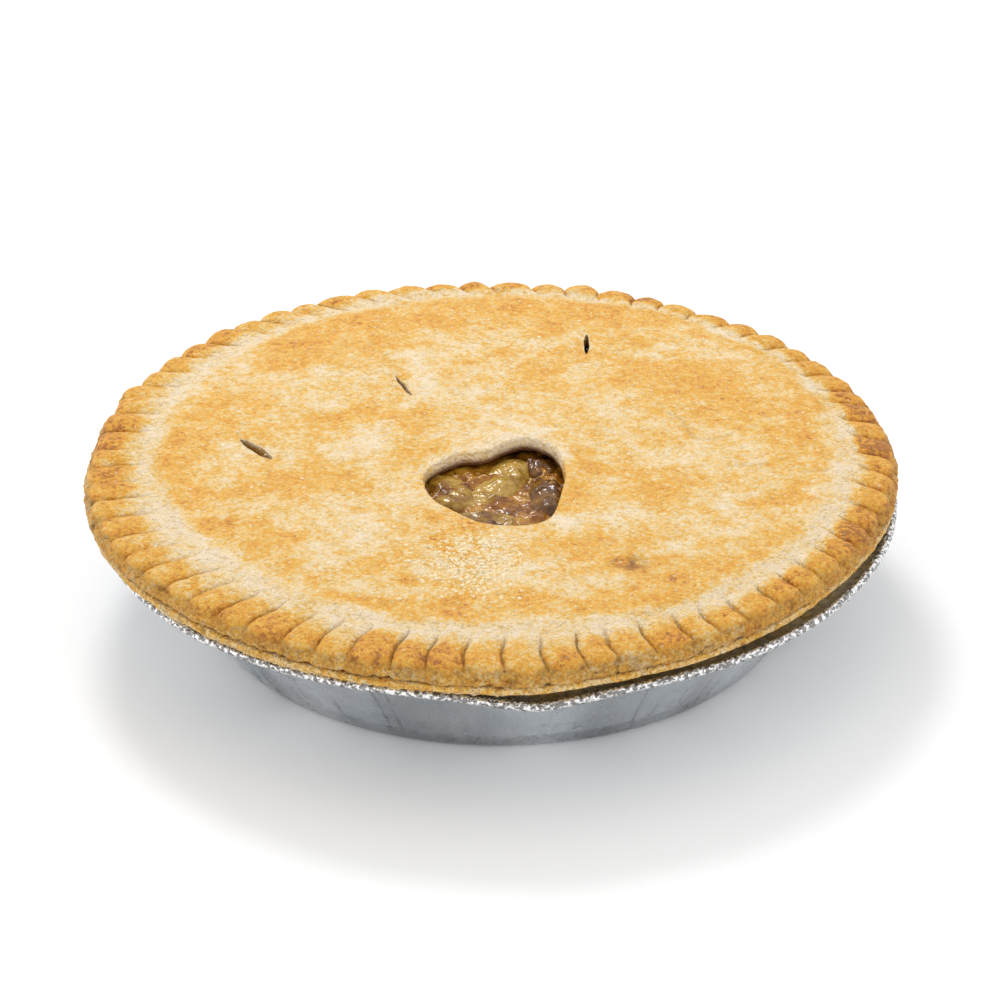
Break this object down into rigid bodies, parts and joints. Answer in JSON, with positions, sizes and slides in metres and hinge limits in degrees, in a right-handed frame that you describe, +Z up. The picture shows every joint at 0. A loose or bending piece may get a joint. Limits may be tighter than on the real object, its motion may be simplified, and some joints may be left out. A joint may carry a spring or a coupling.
{
  "type": "apple pie in a foil tin",
  "caption": "Round double-crust apple pie in its shallow foil tin, with a crimped rim, steam vents and an apple-shaped cut-out that shows the filling.",
  "frame": {"origin": "middle of the tin's flat base, on the surface it stands on", "axes": "+Z up, -Y towards the side that the picture is taken from, +X to the right in the picture"},
  "size_m": [0.251, 0.2519, 0.0544],
  "materials": {
    "foil": "thin pressed foil, bright and lightly crinkled",
    "crust_top": "baked pastry, golden with paler cream parts and browned crimps",
    "crust_base": "baked pastry, pale, porous and crumbly",
    "filling": "glossy amber syrup",
    "apple": "cooked apple, olive to brown, wet"
  },
  "bodies": {
    "root": {"foil_tin": "foil", "bottom_crust": "crust_base", "top_crust": "crust_top", "filling": "filling", "apple_slice_1": "apple", "apple_slice_2": "apple", "apple_slice_3": "apple", "apple_slice_4": "apple", "apple_slice_5": "apple"}
  },
  "joints": []
}
